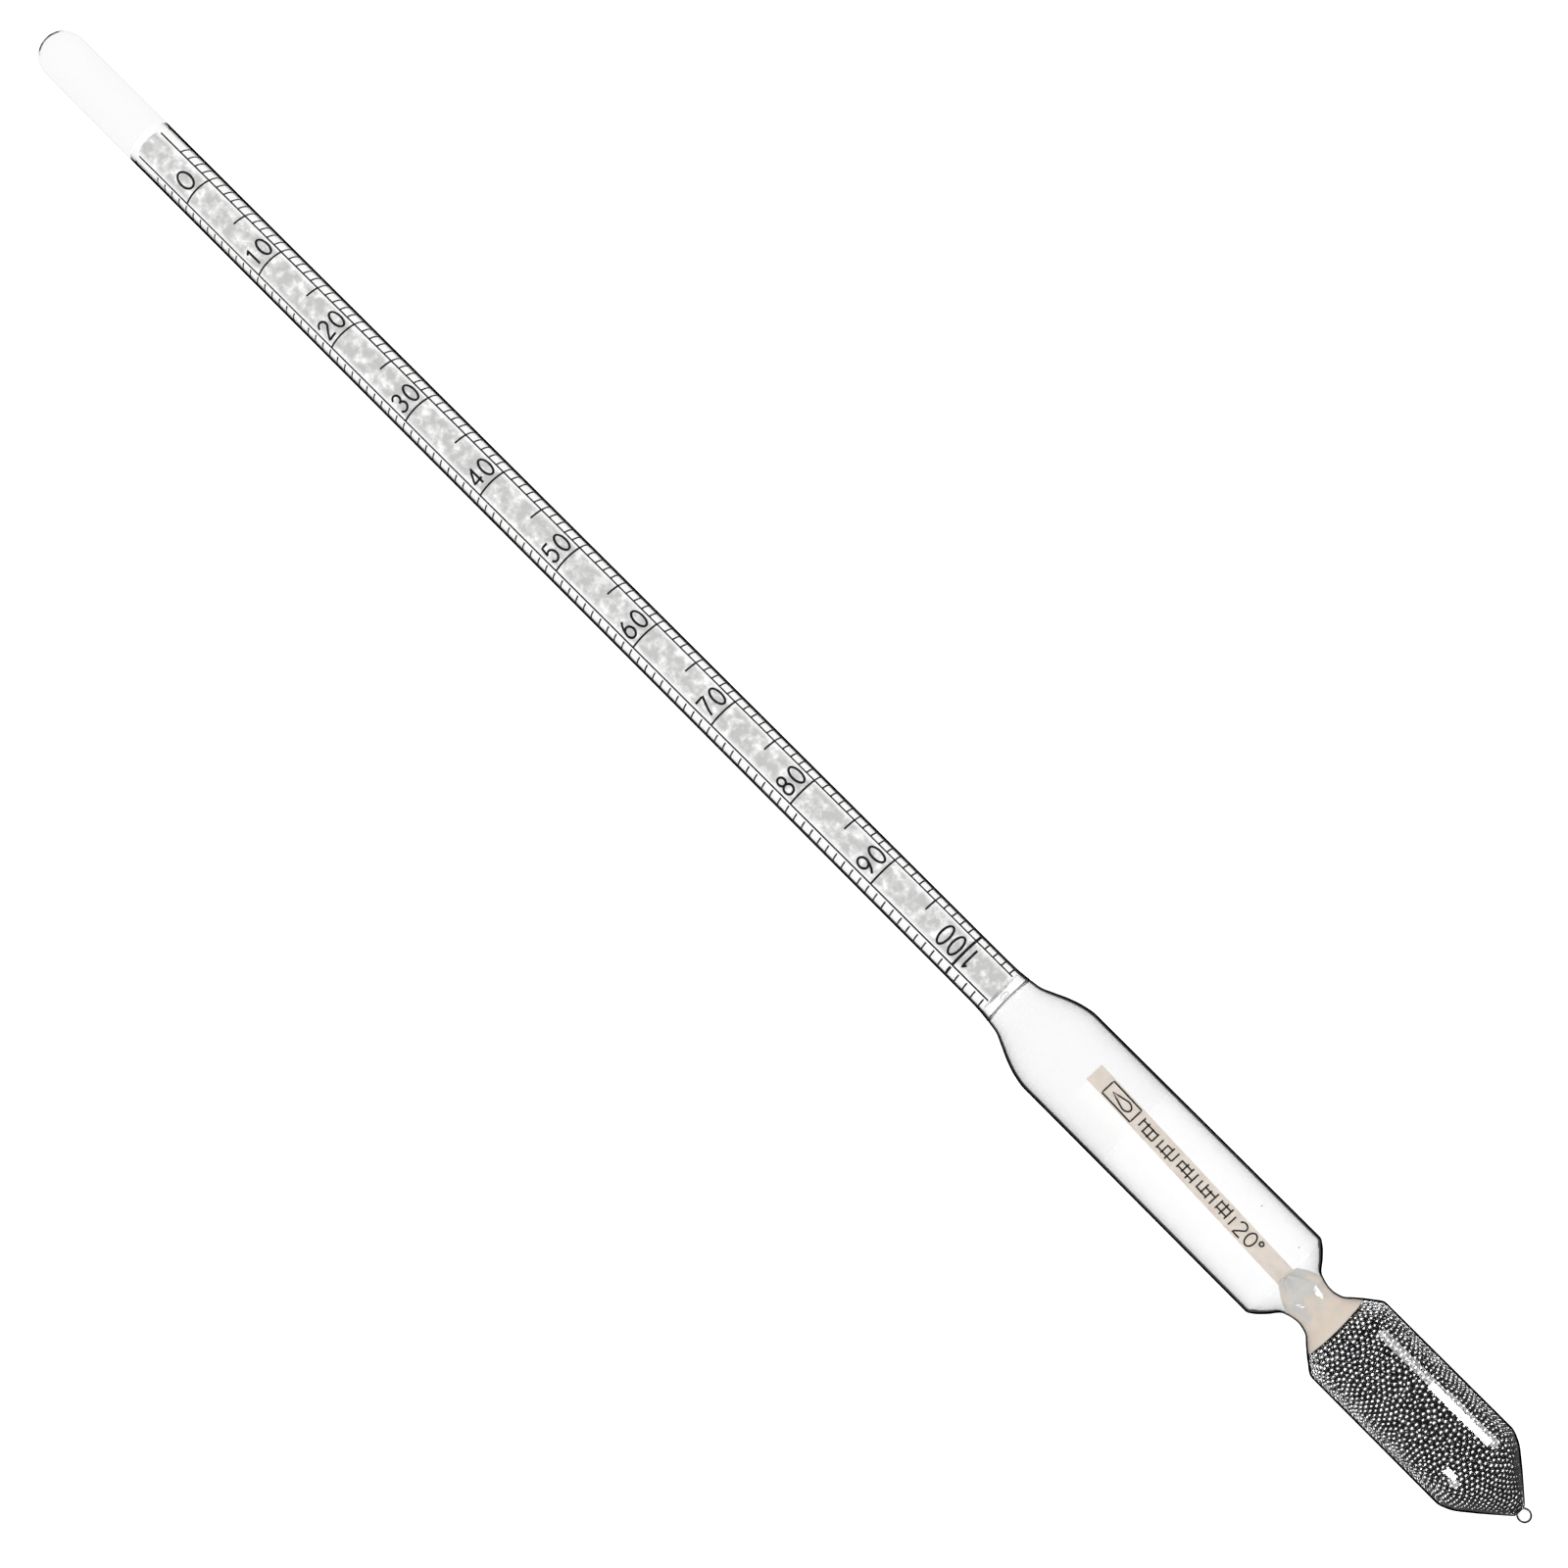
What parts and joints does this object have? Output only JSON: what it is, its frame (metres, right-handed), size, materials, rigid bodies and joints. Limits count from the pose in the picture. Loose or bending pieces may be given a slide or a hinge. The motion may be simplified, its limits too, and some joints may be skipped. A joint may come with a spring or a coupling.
{
  "type": "hydrometer",
  "caption": "Slim sealed glass hydrometer: long stem with a rolled paper scale, a clear float bulb with a leaning label strip, and a shot-filled ballast bulb ending in a small bead.",
  "frame": {"origin": "on the instrument's axis at the height of the scale's 0 line, the level at which plain water's surface meets the stem when it floats", "axes": "+Z along the stem towards its closed domed top; -Y towards the reader of the front column of numerals, with +X to the reader's right"},
  "size_m": [0.0132, 0.0132, 0.28],
  "materials": {
    "clear_glass": "clear, flame-polished",
    "scale_paper": "thin printed paper, matt, black ruling",
    "label_paper": null,
    "clear_glue": "set clear adhesive",
    "plug_resin": "waxy translucent resin",
    "shot_metal": "small round dark metal shot, slightly glossy"
  },
  "bodies": {
    "root": {"stem_tube": "clear_glass", "float_bulb": "clear_glass", "ballast_bulb": "clear_glass", "tip_bead": "clear_glass", "scale_paper": "scale_paper", "scale_glue": "clear_glue", "label_strip": "label_paper", "neck_plug": "plug_resin", "shot_bed": "shot_metal"}
  },
  "joints": []
}
